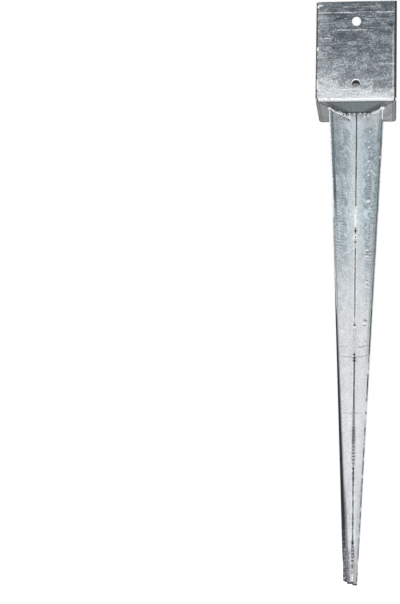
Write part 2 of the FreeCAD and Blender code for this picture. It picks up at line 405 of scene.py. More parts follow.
# The spike: two tapered angles of the same sheet, back to back, so that their flanges make
# a cross. The zinc ran down them lengthwise: mottled and bluish over the flanges, smoother
# and greenish beside the folds, with light painted in there and towards the tip, and dull
# and dark along some edges, much of it painted shade.
floor_slope = math.radians(12)
spike_length = -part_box("right_spike_angle")[0].z
flange_reach_top = 0.059
flange_reach_tip = 0.0095
flange_taper = (flange_reach_top - flange_reach_tip) / spike_length
left_shortfall = 0.002
end_slant = 0.004 / 0.019
crease_wander = 0.006
crease_half = 0.0004
spike_tones = ((0.172, 0.230, 0.268), (0.488, 0.562, 0.607), (0.88, 0.94, 0.965))
fold_green_and_painted_light = (0.775, 0.865, 0.86)
fold_highlight_white = (1.0, 1.0, 1.0)
tip_painted_light = (0.85, 0.845, 0.852)
tip_grey = (0.50, 0.51, 0.53)
tip_streak = (0.12, 0.13, 0.15)
top_painted_light = (0.77, 0.80, 0.83)
top_edge_blue = (0.30, 0.345, 0.37)
seam_grey = (0.60, 0.62, 0.635)
lower_grey = (0.50, 0.515, 0.53)
under_flap_shadow_grey = (0.25, 0.28, 0.28)
speckle_and_shade_dark = (0.055, 0.062, 0.062)
dull_zinc_and_shade = (0.022, 0.024, 0.028)
left_edge_shade_grey = (0.25, 0.265, 0.285)
ripple_shade = (0.26, 0.30, 0.335)
ripple_highlight = (0.95, 0.97, 0.98)
dirt = (0.06, 0.065, 0.075)
edge_shade_dark = (0.05, 0.055, 0.06)
right_edge_shade_grey = (0.13, 0.145, 0.145)
rim_green = (0.30, 0.335, 0.33)
glint_grey = (0.62, 0.64, 0.68)
margin_grey = (0.42, 0.43, 0.45)
speck_dark = (0.08, 0.085, 0.095)
crease_shade_grey = (0.22, 0.24, 0.27)
# Each crease has a height, two ends and a strength.
creases = (
    (-0.3775, 0.0060, 0.0225, 0.60),
    (-0.3780, -0.0205, -0.0110, 0.40),
    (-0.3930, -0.0190, -0.0030, 0.45),
    (-0.3930, 0.0050, 0.0200, 0.45),
    (-0.4800, -0.0150, 0.0120, 0.35),
)
spike_zinc = ZincFinish(
    "spike_zinc", spike_tones, shares=(0.56, 0.12, 0.30), patch=0.016, stretch=(1.0, 1.0, 0.8),
    metallic=0.6, roughness=0.45, relief=0.0006,
)
x, y, z = spike_zinc.axes
across = spike_zinc.sum_of("ABSOLUTE", x)
along = spike_zinc.sum_of("ABSOLUTE", y)
reach = spike_zinc.product(spike_zinc.sum_of("ADD", across, along), math.sqrt(0.5))
edge_line = spike_zinc.sum_of("MULTIPLY_ADD", z, flange_taper, flange_reach_top)
past_edge = spike_zinc.sum_of("SUBTRACT", reach, edge_line)
on_left = spike_zinc.fade(x, 0.001, -0.001)
on_right = spike_zinc.fade(x, -0.001, 0.001)
in_front = spike_zinc.fade(y, 0.001, -0.001)
behind = spike_zinc.fade(y, 0.001, 0.003)
left_front = spike_zinc.product(on_left, in_front)
right_front = spike_zinc.product(on_right, in_front)
facing_left = spike_zinc.fade(spike_zinc.sum_of("ADD", x, y), 0.0005, -0.0008)
facing_right = spike_zinc.fade(spike_zinc.sum_of("SUBTRACT", x, y), -0.0005, 0.0005)
streaked = spike_zinc.fade(spike_zinc.clouds, 0.42, 0.58)

# The tone changes from the folds to the edges and from the floor to the tip. Light is painted in: the
# greenish folds lighter, the flanges lighter towards the tip and just under the floor, and painted highlights
# along the fold lines.
ragged = spike_zinc.add_share(reach, spike_zinc.clouds, 0.018)
spike_zinc.paint(fold_green_and_painted_light, spike_zinc.fade(ragged, 0.036, 0.014), strength=0.77)
to_tip = spike_zinc.fade(z, -0.15, -0.36)
spike_zinc.paint(tip_painted_light, to_tip, strength=0.72, speckle=0.10)
under_floor = spike_zinc.fade(z, -0.038, -0.028)
spike_zinc.paint(top_painted_light, under_floor, strength=0.62, speckle=0.12)
near_seam = spike_zinc.fade(reach, 0.016, 0.009)
mid_length = spike_zinc.band(z, -0.44, -0.24, 0.06)
spike_zinc.paint(seam_grey, near_seam, mid_length, strength=0.32)
lower_part = spike_zinc.fade(z, -0.54, -0.59)
above_tip = spike_zinc.fade(z, -0.672, -0.645)
spike_zinc.paint(lower_grey, lower_part, above_tip, strength=0.21)
fold_highlight_line = spike_zinc.band(reach, 0.0030, 0.0045, 0.0008)
spike_zinc.paint(fold_highlight_white, fold_highlight_line, spike_zinc.fade(z, 0.10, -0.24))

# Painted shadow of the flaps darkens the spike just under them, away from the seam, with dark speckles under
# the left flaps that are spatter and painted shade.
flap_rise = math.tan(floor_slope)
flap_height = spike_zinc.sum_of("MULTIPLY_ADD", along, flap_rise, -socket_half * flap_rise)
below_flap = spike_zinc.sum_of("SUBTRACT", flap_height, z)
below_flap = spike_zinc.add_share(below_flap, spike_zinc.grain, 0.004)
under_flap_shadow = spike_zinc.fade(below_flap, 0.0068, 0.0044)
clear_of_seam = spike_zinc.fade(reach, 0.018, 0.024)
spike_zinc.paint(under_flap_shadow_grey, under_flap_shadow, clear_of_seam, strength=0.85)
speckled_and_shaded = spike_zinc.fade(below_flap, 0.0130, 0.0090)
speckle_grain = spike_zinc.fade(spike_zinc.grain, 0.54, 0.47)
speckle_band = spike_zinc.band(reach, 0.016, 0.040, 0.004)
spike_zinc.paint(speckle_and_shade_dark, speckled_and_shaded, speckle_grain, speckle_band, on_left, strength=0.88)

# The left edges are dark: the rear one lower down, painted in shade where it shows past the front one, and
# the front one near the floor, with painted shade along it further down.
low_down = spike_zinc.fade(z, -0.25, -0.33)
past_dark = spike_zinc.product(spike_zinc.fade(z, -0.685, -0.715), streaked)
clear_of_tip = spike_zinc.sum_of("MULTIPLY_ADD", past_dark, -0.6, 1.0)
overlap = spike_zinc.fade(past_edge, -0.0040, -0.0016)
spike_zinc.paint(dull_zinc_and_shade, overlap, on_left, behind, facing_left, low_down, clear_of_tip)
inside_edge = spike_zinc.band(past_edge, -0.0064, -0.0026, 0.0010)
near_top = spike_zinc.fade(z, -0.20, -0.14)
spike_zinc.paint(edge_dark, inside_edge, left_front, facing_right, near_top, strength=0.95)
edge_shade = spike_zinc.fade(past_edge, -0.0028, -0.0012)
edge_shade_length = spike_zinc.band(z, -0.29, -0.22, 0.05)
spike_zinc.paint(left_edge_shade_grey, edge_shade, left_front, facing_right, edge_shade_length, strength=0.65)

# The zinc froze in ripples across the upper flanges, drawn in paint as highlights on their crests and shade
# between them.
ripple_inputs = {"Vector": spike_zinc.place, "Scale": 75, "Distortion": 9, "Detail": 2, "Detail Scale": 1.3}
ripples = spike_zinc.outcome("TexWave", "Fac", ripple_inputs, bands_direction="Z")
crests = spike_zinc.fade(ripples, 0.35, 0.08)
ripple_width = spike_zinc.band(reach, 0.028, 0.043, 0.006)
ripple_length = spike_zinc.fade(z, -0.28, -0.22)
rippled = spike_zinc.product(ripple_width, ripple_length, spike_zinc.fade(spike_zinc.clouds, 0.56, 0.42))
spike_zinc.paint(ripple_shade, rippled, spike_zinc.fade(ripples, 0.60, 0.90), strength=0.50)
spike_zinc.paint(ripple_highlight, rippled, crests, strength=0.50)
comb_width = spike_zinc.band(past_edge, -0.0150, -0.0040, 0.0040)
comb_length = spike_zinc.band(z, -0.250, -0.160, 0.020)
combed = spike_zinc.product(comb_width, comb_length)
spike_zinc.paint(ripple_shade, combed, spike_zinc.fade(ripples, 0.65, 0.90), strength=0.42)
spike_zinc.paint(ripple_highlight, combed, crests, strength=0.30)

# Dirt and painted shade lines follow the front edges.
soiled = spike_zinc.band(past_edge, -0.0020, 0.001, 0.0018)
soiled_length = spike_zinc.fade(z, -0.57, -0.63)
soiled_grain = spike_zinc.fade(spike_zinc.grain, 0.38, 0.55)
spike_zinc.paint(dirt, soiled, left_front, soiled_length, soiled_grain, strength=0.85)
left_rim = spike_zinc.fade(past_edge, -0.0010, 0.0003)
left_rim_length = spike_zinc.band(z, -0.64, -0.34, 0.03)
spike_zinc.paint(edge_shade_dark, left_rim, left_front, left_rim_length, strength=0.72)
beside_rim = spike_zinc.band(past_edge, -0.0030, 0.0, 0.0050)
higher_up = spike_zinc.fade(z, -0.45, -0.33)
spike_zinc.paint(rim_green, beside_rim, right_front, higher_up, strength=0.60)
right_rim = spike_zinc.band(past_edge, -0.0004, 0.002, 0.0006)
below_floor = spike_zinc.fade(z, -0.015, -0.03)
right_line = spike_zinc.product(right_rim, right_front, below_floor)
spike_zinc.paint(right_edge_shade_grey, right_line, higher_up, strength=0.85)
kept_dark = spike_zinc.fade(spike_zinc.clouds, 0.56, 0.46)
spike_zinc.paint(edge_shade_dark, right_line, low_down, kept_dark, strength=0.90)
dark_run = spike_zinc.band(z, -0.450, -0.428, 0.004)
spike_zinc.paint(edge_shade_dark, right_line, dark_run, strength=0.90)

# The tip is streaked, flecked with painted glints and pitted on the left, and the right edge grey and
# specked.
near_tip = spike_zinc.fade(z, -0.65, -0.71)
outer_half = spike_zinc.fade(past_edge, -0.0060, -0.0024)
spike_zinc.paint(tip_streak, near_tip, streaked, on_left, outer_half, strength=0.8)
glints = spike_zinc.fade(spike_zinc.grain, 0.52, 0.62)
glint_length = spike_zinc.fade(z, -0.63, -0.71)
spike_zinc.paint(glint_grey, glint_length, glints, on_left, outer_half, strength=0.75)
pits = spike_zinc.fade(spike_zinc.grain, 0.46, 0.40)
pit_length = spike_zinc.fade(z, -0.60, -0.66)
pit_width = spike_zinc.fade(past_edge, -0.0080, -0.0040)
spike_zinc.paint(dirt, pits, pit_length, pit_width, on_left, strength=0.75)
margin_width = spike_zinc.fade(past_edge, -0.0085, -0.0050)
margin_length = spike_zinc.fade(z, -0.56, -0.61)
spike_zinc.paint(margin_grey, margin_width, margin_length, right_front, strength=0.25)
speck_width = spike_zinc.fade(past_edge, -0.0032, -0.0008)
speck_length = spike_zinc.fade(z, -0.42, -0.52)
spike_zinc.paint(speck_dark, speck_width, speck_length, right_front, glints, strength=0.85)

# Fine creases wander across the front, drawn as painted shade.
wandering = spike_zinc.add_share(z, spike_zinc.clouds, crease_wander)
for height, left, right, strength in creases:
    crease_middle = height + crease_wander / 2
    line = spike_zinc.band(wandering, crease_middle - crease_half, crease_middle + crease_half, 0.0008)
    stretch = spike_zinc.band(x, left, right, 0.002)
    spike_zinc.paint(crease_shade_grey, line, stretch, in_front, strength=strength)

# The tip's end is greyer, the left flange bluer at its top, and the cut ends dull and dark.
greyed = spike_zinc.fade(z, -0.698, -0.712)
within_edge = spike_zinc.fade(past_edge, -0.0024, -0.0050)
spike_zinc.paint(tip_grey, greyed, within_edge, strength=0.60)
outer_top = spike_zinc.fade(past_edge, -0.028, -0.016)
outer_top_length = spike_zinc.fade(z, -0.16, -0.08)
spike_zinc.paint(
    top_edge_blue, outer_top, left_front, outer_top_length, facing_right, strength=0.58, speckle=0.4
)
above_end = spike_zinc.sum_of("ADD", z, spike_length)
above_end = spike_zinc.add_share(above_end, on_left, -left_shortfall)
above_end = spike_zinc.add_share(above_end, spike_zinc.product(on_left, behind, reach), -end_slant)
spike_zinc.paint(dull_zinc_and_shade, spike_zinc.fade(above_end, 0.0036, 0.0016), strength=0.85)
dress("left_spike_angle", spike_zinc)
dress("right_spike_angle", spike_zinc)

# The stitch welds down the spike: four short beads in the groove between the folds, front
# and rear, laid by hand in overlapping crescents, some with a little raised ring at the end.
# The first is bright under its zinc, with its highlight painted in, the second pale, the lower two dull and
# grey.
groove_depth = 0.0024
bead_height = 0.0021
# Each stitch has a place, as a share of the spike's length, a length and a look.
stitches = ((0.231, 0.036, "bright"), (0.495, 0.038, "pale"), (0.715, 0.063, "dull"), (0.936, 0.026, "dull"))
pitches = {"bright": 0.0034, "pale": 0.0040, "dull": 0.0050}
widths = {"bright": 0.0028, "pale": 0.0042, "dull": 0.0044}
wobbles = {"bright": 0.50, "pale": 0.20, "dull": 0.22}
# Each ring has a height, a radius and a thickness.
crater_rings = ((-0.2035, 0.0023, 0.0011), (-0.3462, 0.0007, 0.0012), (-0.7005, 0.0017, 0.0006))
ring_depth = 0.0033
ring_swell = 0.2
lead_in_top = -0.470
lead_in_low = -0.500
dull_tones = ((0.12, 0.135, 0.145), (0.37, 0.395, 0.415), (0.74, 0.76, 0.78))
pale_tones = ((0.42, 0.43, 0.44), (0.60, 0.605, 0.615), (0.74, 0.75, 0.76))
lead_in_grey = (0.15, 0.18, 0.19)
bead_end_pale = (0.66, 0.68, 0.70)
dull_weld = ZincFinish(
    "dull_weld", dull_tones, shares=(0.3, 0.1, 0.6), patch=0.004,
    metallic=0.5, roughness=0.42, relief=0.0004,
)
pale_weld = ZincFinish(
    "pale_weld", pale_tones, shares=(0.4, 0.1, 0.5), patch=0.004,
    metallic=0.5, roughness=0.42, relief=0.0004,
)
z = dull_weld.axes["Z"]
dull_weld.paint(lead_in_grey, dull_weld.band(z, -0.522, -0.46, 0.006), strength=0.80)
dull_weld.paint(bead_end_pale, dull_weld.band(z, -0.556, -0.530, 0.006), strength=0.5)
# Painted shade: dark crescents in the ripples of the beads below the lead-in.
crescents = dull_weld.outcome("Attribute", "Fac", {}, attribute_name="ripple")
below_lead_in = dull_weld.fade(z, lead_in_low + 0.002, lead_in_low - 0.002)
dull_weld.paint(dark_joint_and_shade_grey, dull_weld.fade(crescents, 0.2, -0.6), below_lead_in, strength=0.95)


def groove_run(side, depth, top_height, low_height):
    """Three points down the groove between the angles, in front or behind."""
    heights = (top_height, (top_height + low_height) / 2, low_height)
    return [Vector((0, side * depth, height)) for height in heights]


def weld_bead(shape, points, outward, width, height, pitch, unevenness, seed):
    """A bead laid along a curve: a ball drawn out, blunt at both ends, with crescents across it."""
    rings_per_crescent = 6
    crescent_swell = 0.11
    crescent_bow = 0.4
    bluntness = 7
    lump_scale = 330
    sway_scale = 160
    sway_share = 0.4
    start, middle, end = (Vector(point) for point in points)
    length = (middle - start).length + (end - middle).length
    rings = max(12, round(length / pitch * rings_per_crescent))
    ripple = shape.verts.layers.float.get("ripple") or shape.verts.layers.float.new("ripple")
    ball = bmesh.ops.create_uvsphere(shape, u_segments=12, v_segments=rings, radius=1)["verts"]
    for vert in ball:
        share = math.acos(max(-1, min(1, vert.co.z))) / math.pi
        spread = Vector((vert.co.x, vert.co.y)).normalized() if 0.001 < share < 0.999 else Vector((0, 0))
        centre = start * (1 - share) ** 2 + middle * 2 * share * (1 - share) + end * share ** 2
        way = ((middle - start) * (1 - share) + (end - middle) * share).normalized()
        side = way.cross(Vector(outward)).normalized()
        lift = side.cross(way)
        blunt = (1 - abs(2 * share - 1) ** bluntness) ** 0.5
        crescent = math.sin(2 * math.pi * (share * length / pitch + crescent_bow * spread.x ** 2))
        lumps = noise.noise(centre * lump_scale + Vector((seed, 0, 0)))
        swell = blunt * (1 + crescent_swell * crescent + unevenness * lumps)
        swing = noise.noise(centre * sway_scale + Vector((0, seed, 0)))
        sway = side * unevenness * width * sway_share * swing
        vert[ripple] = crescent
        vert.co = centre + sway + side * spread.x * width / 2 * swell + lift * spread.y * height * swell


for node, side in (("front_seam_welds", -1), ("rear_seam_welds", 1)):
    outward = Vector((0, side, 0))
    for look, finish in (("bright", bright_zinc_and_highlight), ("pale", pale_weld), ("dull", dull_weld)):
        beads = bmesh.new()
        for place, length, bead_look in stitches:
            if bead_look != look:
                continue
            middle_height = -place * spike_length
            run = groove_run(side, groove_depth, middle_height + length / 2, middle_height - length / 2)
            weld_bead(
                beads, run, outward, width=widths[look], height=bead_height, pitch=pitches[look],
                unevenness=wobbles[look], seed=place * 50,
            )
        if look == "bright":
            for ring_height, radius, thickness in crater_rings:
                raised_ring(beads, Vector((0, side * ring_depth, ring_height)), radius, thickness, ring_swell)
        if look == "dull":
            run = groove_run(side, groove_depth, lead_in_top, lead_in_low)
            weld_bead(beads, run, outward, width=0.0040, height=0.0011, pitch=0.012, unevenness=0.15, seed=8)
        seam_beads = new_piece(look + "_" + node.replace("welds", "beads"), beads, finish)
        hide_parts(node)

# The line of the seam between the two angles: dark flux and bare scale left in the groove,
# where the zinc didn't take, darkened further as the groove's painted shade, with pits and
# burnt rungs where a bead starts or stops. Near the tip the zinc filled the groove instead.
scale_height = 0.0005
# Each run of scale has a top, a low end, a depth, a width and an unevenness.
scale_runs = (
    (-0.002, -0.085, 0.0018, 0.0012, 0.15),
    (-0.080, -0.150, 0.0020, 0.0013, 0.35),
    (-0.148, -0.198, 0.0018, 0.0012, 0.15),
    (-0.220, -0.250, 0.0018, 0.0012, 0.20),
    (-0.245, -0.331, 0.0020, 0.0013, 0.35),
    (-0.392, -0.445, 0.0021, 0.0019, 0.15),
    (-0.440, -0.480, 0.0022, 0.0026, 0.20),
    (-0.560, -0.698, 0.0022, 0.0026, 0.55),
)
# Each filling has a top, a low end and a width.
tip_fills = ((-0.700, -0.722, 0.0024), (-0.7215, -0.7365, 0.0020))
fill_depth = 0.0022
fill_height = 0.0009
# Each crater has a height and a radius.
craters = (
    (-0.1515, 0.0015), (-0.1935, 0.0017), (-0.2035, 0.0013), (-0.2110, 0.0013), (-0.3380, 0.0008),
    (-0.3425, 0.0015), (-0.3890, 0.0012), (-0.3935, 0.0015), (-0.3980, 0.0015), (-0.5640, 0.0016),
    (-0.5710, 0.0014), (-0.5800, 0.0014), (-0.6765, 0.0016), (-0.7090, 0.0011), (-0.7115, 0.0013),
    (-0.7140, 0.0010), (-0.7360, 0.0017),
)
crater_depth = 0.0026
burnt_rungs = (-0.3885, -0.3937, -0.3988)
rung_depth = 0.0033
# Each stretch of greyer scale has a top and a low end.
greyer_runs = ((-0.115, -0.150), (-0.235, -0.335))
scale_tones = ((0.012, 0.014, 0.017), (0.034, 0.038, 0.044), (0.12, 0.13, 0.14))
weathered_grey = (0.085, 0.10, 0.112)
broken_grey = (0.50, 0.52, 0.54)
greyer_scale = (0.30, 0.32, 0.33)
dark_scale_and_shade = ZincFinish(
    "seam_scale_and_shade", scale_tones, shares=(0.4, 0.1, 0.5), patch=0.006,
    metallic=0.3, roughness=0.70, relief=0.0003,
)
z = dark_scale_and_shade.axes["Z"]
from_middle = dark_scale_and_shade.sum_of("ABSOLUTE", dark_scale_and_shade.axes["Y"])
below_pits = dark_scale_and_shade.fade(from_middle, 0.0036, 0.0030)
weathered = dark_scale_and_shade.fade(z, -0.36, -0.40)
dark_scale_and_shade.paint(weathered_grey, weathered, below_pits, strength=0.8, speckle=0.6)
broken = dark_scale_and_shade.fade(dark_scale_and_shade.clouds, 0.48, 0.56)
broken_length = dark_scale_and_shade.fade(z, -0.575, -0.590)
dark_scale_and_shade.paint(broken_grey, broken, broken_length, below_pits, strength=0.80)
for top_height, low_height in greyer_runs:
    greyer = dark_scale_and_shade.band(z, low_height, top_height, 0.010)
    dark_scale_and_shade.paint(greyer_scale, greyer, strength=0.85, speckle=0.7)


def zinc_lump(shape, seat, outward, width, height, thickness):
    """A frozen lump: an uneven ball pressed flat on a face, hanging a little to its lower end."""
    unevenness = 0.30
    taper = 0.25
    ball = bmesh.ops.create_icosphere(shape, subdivisions=2, radius=1)["verts"]
    outward = Vector(outward).normalized()
    side = Vector((0, 0, 1)).cross(outward).normalized()
    lift = outward.cross(side)
    for vert in ball:
        uneven = 1 + unevenness * noise.noise(vert.co * 1.4 + seat * 700)
        narrow = 1 - taper * vert.co.z
        place = side * vert.co.x * narrow * width / 2 + lift * vert.co.z * height / 2
        vert.co = seat + (place + outward * vert.co.y * -thickness) * uneven


scale = bmesh.new()
fill = bmesh.new()
tip_run = bmesh.new()
for side in (-1, 1):
    outward = Vector((0, side, 0))
    for top_height, low_height, depth, width, unevenness in scale_runs:
        run = groove_run(side, depth, top_height, low_height)
        weld_bead(
            scale, run, outward, width=width, height=scale_height, pitch=0.014,
            unevenness=unevenness, seed=3 + side,
        )
    for shape, (top_height, low_height, width) in zip((fill, tip_run), tip_fills):
        run = groove_run(side, fill_depth, top_height, low_height)
        weld_bead(
            shape, run, outward, width=width, height=fill_height, pitch=0.010,
            unevenness=0.20, seed=5 + side,
        )
    for crater_height, crater_radius in craters:
        ball = bmesh.ops.create_icosphere(scale, subdivisions=2, radius=crater_radius)["verts"]
        bmesh.ops.translate(scale, verts=ball, vec=(0, side * crater_depth, crater_height))
    for rung_height in burnt_rungs:
        seat = Vector((0, side * rung_depth, rung_height))
        zinc_lump(scale, seat, outward, width=0.0046, height=0.0019, thickness=0.0010)
new_piece("seam_scale", scale, dark_scale_and_shade)
new_piece("tip_seam_zinc", fill, pale_weld)
new_piece("tip_end_zinc", tip_run, bright_zinc_and_highlight)

# The fillet welds under the floor: both slanted edges of each flap are welded to the flange
# beside them, by hand and overhead, so the beads sag and are lumpy, with blobs where they
# start and a crust of small lumps along the flap's edge.
outer_face = 0.00085
inner_face = 0.00115
weld_start = 0.0375
weld_end = 0.0600
weld_clear = 0.0008
weld_drop = 0.0020
weld_tilt = Vector((0, 0, 0.5))
# The unusual sags and crusts, by flap, counted from the front, and hand.
sags = {(0, -1): 0.0044, (0, 1): 0.0030, (1, -1): 0.0030, (2, 1): 0.0040, (3, 1): 0.0022}
usual_sag = 0.0030
crusts = {(0, -1): 34, (0, 1): 10, (2, 1): 26}
usual_crust = 12
blobs = 9
blob_reach = (0.0255, weld_start + 0.005)
blob_drop = (0.0005, 0.0050)
blob_size = (0.0014, 0.0034)
blob_clear = 0.0004
crust_reach = (0.0140, 0.0360)
crust_drop = (-0.0004, 0.0060)
crust_size = (0.0011, 0.0027)
crust_clear = 0.0002
edge_height = -(socket_half - flap_edge) * flap_rise
crust_draw = random.Random(12)
draw = random.Random(41)

flaps = []
for turn in range(4):
    toward = Matrix.Rotation(turn * math.pi / 2, 3, "Z") @ Vector((0, -1, 0))
    sideways = Vector((-toward.y, toward.x, 0))
    flaps.append((turn, toward, sideways, outer_face if turn % 2 == 0 else inner_face))


def flange_place(toward, across_flap, reach_out, face_offset, clear):
    """A point on a flange face under a flap, clear of the face and of the flap by the given gap."""
    diagonal = (toward + across_flap).normalized()
    face_normal = (toward - across_flap).normalized()
    point = diagonal * reach_out + face_normal * (face_offset + clear)
    point.z = -(socket_half - point.dot(toward)) * flap_rise - clear
    return point


overhead = bmesh.new()
for turn, toward, sideways, face_offset in flaps:
    for hand in (-1, 1):
        across_flap = sideways * hand
        face_normal = (toward - across_flap).normalized()
        run = [
            flange_place(toward, across_flap, reach_out, face_offset, weld_clear)
            for reach_out in (weld_start, (weld_start + weld_end) / 2, weld_end)
        ]
        run[0].z -= weld_drop
        run[1].z -= weld_drop + sags.get((turn, hand), usual_sag)
        weld_bead(
            overhead, run, (face_normal - weld_tilt).normalized(), width=0.0025, height=bead_height,
            pitch=0.0030, unevenness=0.95, seed=7 * turn + hand,
        )
        for blob in range(blobs):
            reach_out = draw.uniform(*blob_reach)
            seat = flange_place(toward, across_flap, reach_out, face_offset, blob_clear)
            seat.z -= draw.uniform(*blob_drop)
            size = draw.uniform(*blob_size)
            zinc_lump(overhead, seat, face_normal, width=size, height=0.8 * size, thickness=0.5 * size)
        for speck in range(crusts.get((turn, hand), usual_crust)):
            reach_out = crust_draw.uniform(*crust_reach)
            seat = flange_place(toward, across_flap, reach_out, face_offset, crust_clear)
            seat.z = max(seat.z, edge_height) - crust_draw.uniform(*crust_drop)
            size = crust_draw.uniform(*crust_size)
            zinc_lump(overhead, seat, face_normal, width=size, height=size, thickness=0.4 * size)
floor_beads = new_piece("floor_weld_beads", overhead, bright_zinc_and_highlight)
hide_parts("floor_fillet_welds")

# The welds that close the butt seam at the front left corner: two short runs and a scatter
# of small dabs, left as they were laid, the lower run the longer, bright under their zinc,
# with their highlights painted in.
seam_place = Vector((-0.0602, -0.0617, 0))
tack_bow = Vector((-0.0010, 0, 0))
tack_outward = (-0.25, -1, 0)
# Each run has a place, as a share of the rim's height, a length, a width and a shift to the right.
tack_runs = ((0.17, 0.018, 0.0028, 0.0012), (0.52, 0.006, 0.0032, 0.0010))
# Each dab has a place, as a share of the rim's height, a shift to the right, a width and a height.
dabs = (
    (0.962, 0.0034, 0.0080, 0.0028), (0.948, 0.0006, 0.0030, 0.0042), (0.83, 0.0004, 0.0016, 0.0030),
    (0.71, 0.0010, 0.0012, 0.0022), (0.44, 0.0006, 0.0016, 0.0036), (0.36, 0.0012, 0.0012, 0.0020),
    (0.27, 0.0006, 0.0018, 0.0030),
)
dab_thickness = 0.0007
tacks = bmesh.new()
for place, length, width, shift in tack_runs:
    middle = seam_place + Vector((shift, 0, place * rim_height))
    half_run = Vector((0, 0, length / 2))
    run = (middle + half_run, middle + tack_bow, middle - half_run)
    weld_bead(
        tacks, run, tack_outward, width=width, height=bead_height, pitch=0.0026,
        unevenness=0.25, seed=place * 90,
    )
for place, shift, width, height in dabs:
    seat = Vector((seam_place.x + shift, -socket_half, place * rim_height))
    zinc_lump(tacks, seat, (0, -1, 0), width, height, dab_thickness)
tack_beads = new_piece("corner_tack_beads", tacks, bright_zinc_and_highlight)
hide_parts("corner_seam_welds")

# The zinc along the blades' cut edges: it drew back from the sharp sheared edge and froze
# there as a fine bright lip, longest on the left of the front, with the edge's highlight
# painted into it.
sheet_middle = 0.00015
lip_top = 0.003
lip_inset = 0.0002
# Each lip has the signs of its flange's X and Y, and a length.
edge_lips = ((-1, -1, 0.18), (1, -1, 0.022), (1, 1, 0.12))
edges = bmesh.new()
for x_sign, y_sign, lip_length in edge_lips:
    diagonal = Vector((x_sign, y_sign, 0)).normalized()
    inward = Vector((x_sign, -y_sign, 0)).normalized()
    run = []
    for share in (0, 0.5, 1):
        depth = lip_top + share * lip_length
        lip_reach = flange_reach_top - depth * flange_taper - lip_inset
        run.append(diagonal * lip_reach + inward * sheet_middle - Vector((0, 0, depth)))
    weld_bead(
        edges, run, diagonal, width=0.0022, height=0.0006, pitch=0.009,
        unevenness=0.10, seed=11 * x_sign + y_sign,
    )
new_piece("blade_edge_zinc", edges, bright_zinc_and_highlight)

# The zinc that froze as it ran: a row of lumps down the right front flange with dark grey
# halos round them as their painted shade, a few on the other flanges, and drops along the
# edges of the flaps.
row_reach = 0.0318
row_narrowing = 0.55
row_stray = 0.0018
# Each lump of the row has a depth below the floor and a size.
row = (
    (0.039, 0.7), (0.055, 0.6), (0.0635, 0.8), (0.0865, 0.9), (0.108, 0.8), (0.150, 1.3), (0.196, 0.6),
    (0.227, 0.9), (0.237, 0.9), (0.278, 0.9), (0.285, 0.8), (0.310, 0.7), (0.341, 1.3), (0.372, 0.6),
)
row_outward = (-1, -1, 0)
# The painted shade above and below each lump has a rise and a size.
shade_halo_dabs = ((0.0026, 1.0), (-0.0030, 0.7))
halo_stray = 0.002
halo_thickness = 0.0004
flange_lumps = 7
flange_lump_depth = (0.03, 0.55)
flange_lump_reach = (0.25, 0.8)
flange_lump_size = (0.4, 0.9)
# The drops along each flap's edge, by flap.
drop_places = {
    0: (-0.0105, -0.0030, 0.0062, 0.0135), 1: (-0.006, 0.013), 2: (-0.014, 0.002, 0.011), 3: (-0.004, 0.009),
}
drop_sink = Vector((0, 0, -0.0002))
step_depth = 0.084
# The halos are painted shade in a dull grey.
halo_shade_tones = ((0.16, 0.185, 0.205), (0.29, 0.325, 0.35), (0.50, 0.54, 0.57))
lump_shade = ZincFinish(
    "lump_shade", halo_shade_tones, shares=(0.3, 0.1, 0.6), patch=0.004,
    metallic=0.4, roughness=0.6, relief=0.0003,
)
runs = bmesh.new()
shade_halos = bmesh.new()
for depth, size in row:
    out = row_reach * (1 - row_narrowing * depth / spike_length) + draw.uniform(-row_stray, row_stray)
    seat = (Vector((out, -out, 0)) - Vector((outer_face, outer_face, 0))) * math.sqrt(0.5)
    seat.z = -depth
    zinc_lump(runs, seat, row_outward, width=0.0074 * size, height=0.0046 * size, thickness=0.0014 * size)
    for rise, halo_size in shade_halo_dabs:
        halo_seat = seat + Vector((draw.uniform(0.0, halo_stray), 0, rise * size))
        halo_seat.y = -halo_seat.x - outer_face * math.sqrt(2)
        halo_width = 0.0072 * size * halo_size
        halo_height = 0.0026 * size * halo_size
        zinc_lump(shade_halos, halo_seat, row_outward, halo_width, halo_height, halo_thickness)
for turn, toward, sideways, face_offset in flaps:
    for hand in (-1, 1):
        diagonal = (toward + sideways * hand).normalized()
        face_normal = (toward - sideways * hand).normalized()
        for lump in range(flange_lumps):
            depth = draw.uniform(*flange_lump_depth)
            out = draw.uniform(*flange_lump_reach) * (flange_reach_top - depth * flange_taper)
            seat = diagonal * out + face_normal * face_offset - Vector((0, 0, depth))
            size = draw.uniform(*flange_lump_size)
            zinc_lump(
                runs, seat, face_normal, width=0.0042 * size, height=0.0044 * size, thickness=0.0008 * size
            )
    for shift in drop_places[turn]:
        seat = toward * flap_edge + sideways * shift + Vector((0, 0, edge_height)) + drop_sink
        zinc_lump(runs, seat, toward, width=0.0022, height=0.0038, thickness=0.0014)
step_out = flange_reach_top - step_depth * flange_taper
step_seat = Vector((step_out, -step_out, 0)) * math.sqrt(0.5) - Vector((0, 0, step_depth))
zinc_lump(runs, step_seat, (1, -1, 0), width=0.0020, height=0.0050, thickness=0.0006)
new_piece("zinc_runs", runs, bright_zinc_and_highlight)
new_piece("lump_shade_halos", shade_halos, lump_shade)

